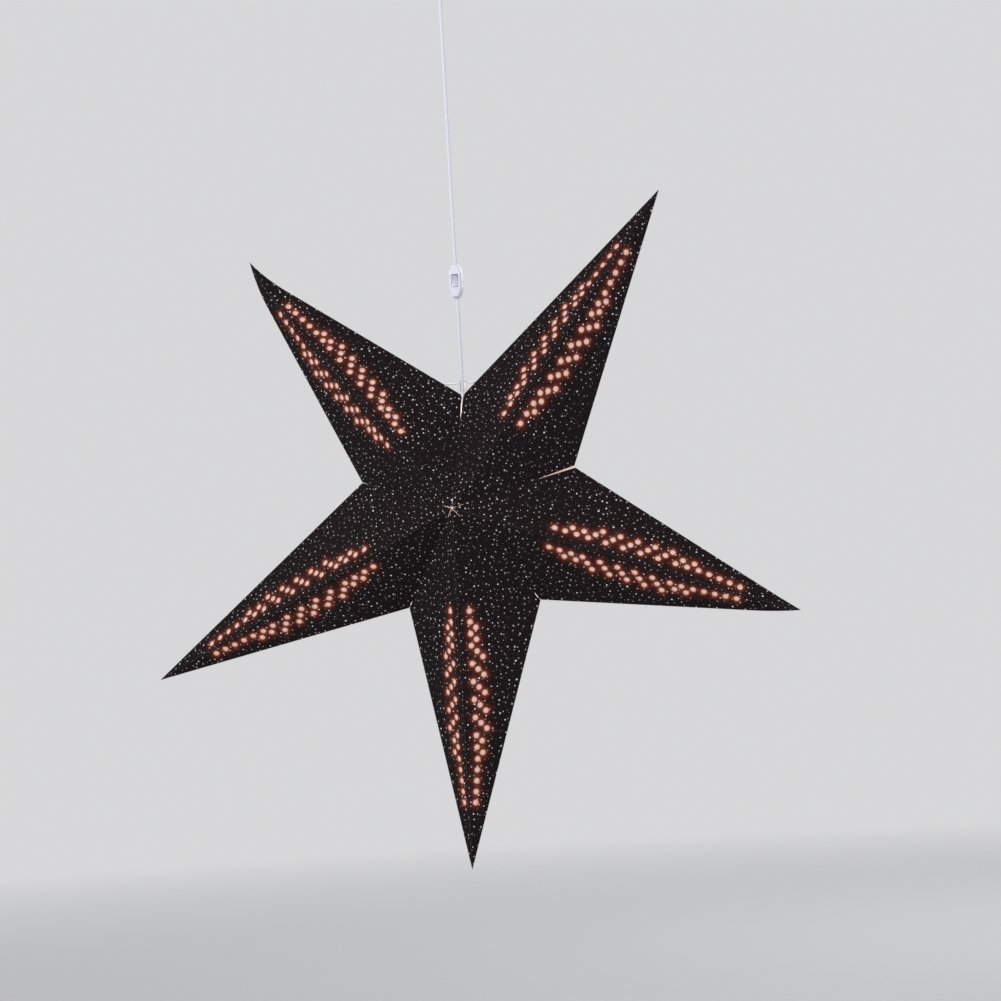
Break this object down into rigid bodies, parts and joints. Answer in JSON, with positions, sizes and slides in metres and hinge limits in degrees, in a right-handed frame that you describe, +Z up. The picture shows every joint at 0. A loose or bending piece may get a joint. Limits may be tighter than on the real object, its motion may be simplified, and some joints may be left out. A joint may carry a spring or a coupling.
{
  "type": "paper star pendant lantern",
  "caption": "Folded black paper star lantern with punched holes in its points, hung on a white cord with an in-line switch and a ceiling cup.",
  "frame": {"origin": "centre of the ceiling bracket's flat top, which meets the ceiling", "axes": "+Z up, -Y towards the viewer in front of the star, +X to the star's right as seen from the front"},
  "size_m": [0.7174, 0.1392, 1.0139],
  "materials": {
    "black_paper": "matte black paper with fine silver-white flecks and lighter worn edges",
    "lining_paper": "thin translucent paper, lit from inside",
    "white_metal": "white coated wire",
    "clear_plastic": "slightly yellowed clear plastic",
    "white_plastic": "satin white",
    "white_cord": "smooth white sheath",
    "ceramic": "unglazed white",
    "brass": "drawn and plain",
    "steel": "bright zinc plated",
    "zinc_plate": "pressed and zinc plated",
    "black_glass": "black vitrified insulator",
    "clear_glass": "clear blown glass",
    "filament": "fine lit wire"
  },
  "bodies": {
    "ceiling": {"ceiling_bracket": "zinc_plate", "ceiling_cup": "white_plastic", "ceiling_screw_left": "steel", "ceiling_screw_right": "steel", "cup_nut": "white_plastic", "cord_bush": "white_plastic", "terminal_block": "white_plastic", "feed_cord": "white_cord"},
    "top_hang": {"top_cord": "white_cord"},
    "cord_hang": {"upper_cord": "white_cord", "lower_cord": "white_cord", "switch_base": "white_plastic", "switch_cover": "white_plastic", "switch_contact_upper": "brass", "switch_contact_lower": "brass", "switch_screw_upper": "steel", "switch_screw_lower": "steel"},
    "rocker": {"switch_rocker": "white_plastic"},
    "lantern": {"inner_cord": "white_cord", "cord_clip": "clear_plastic", "hanger_rod": "white_metal", "upper_left_point": "black_paper", "upper_right_point": "black_paper", "right_point": "black_paper", "bottom_point": "black_paper", "lower_left_point": "black_paper", "upper_left_lining": "lining_paper", "upper_right_lining": "lining_paper", "right_lining": "lining_paper", "bottom_lining": "lining_paper", "lower_left_lining": "lining_paper", "front_closing_clip": "clear_plastic", "back_closing_clip": "clear_plastic", "holder_cap": "white_plastic", "holder_skirt": "white_plastic", "holder_cord_grip": "white_plastic", "holder_insert": "ceramic", "terminal_screw_left": "brass", "terminal_screw_right": "brass", "threaded_socket": "brass", "middle_contact": "brass"},
    "bulb_carriage": {"bulb_tip": "brass"},
    "bulb": {"bulb_cap": "brass", "bulb_insulator": "black_glass", "bulb_glass": "clear_glass", "bulb_stem": "clear_glass", "bulb_filament": "filament"}
  },
  "joints": [
    {"name": "swing_side", "type": "hinge", "parent": "ceiling", "child": "top_hang", "pos_m": [0, 0, -0.0543], "axis": [0, 1, 0], "range_deg": [-20, 20]},
    {"name": "swing_fore_aft", "type": "hinge", "parent": "top_hang", "child": "cord_hang", "pos_m": [0, 0, -0.0711], "axis": [1, 0, 0], "range_deg": [-20, 20]},
    {"name": "rocker_tip", "type": "hinge", "parent": "cord_hang", "child": "rocker", "pos_m": [0, -0.0039, -0.382], "axis": [-1, 0, 0], "range_deg": [0, 16]},
    {"name": "star_turn", "type": "hinge", "parent": "cord_hang", "child": "lantern", "pos_m": [0, 0, -0.489], "axis": [0, 0, 1], "range_deg": [-180, 180]},
    {"name": "bulb_travel", "type": "slide", "parent": "lantern", "child": "bulb_carriage", "axis": [0, 0, -1], "range_m": [0, 0.00846]},
    {"name": "bulb_turn", "type": "hinge", "parent": "bulb_carriage", "child": "bulb", "pos_m": [0, 0, -0.63], "axis": [0, 0, -1], "range_deg": [0, 1080]}
  ],
  "couplings": [
    {"joint": "bulb_travel", "follows": "bulb_turn", "m_per_rad": 0.00044882}
  ]
}
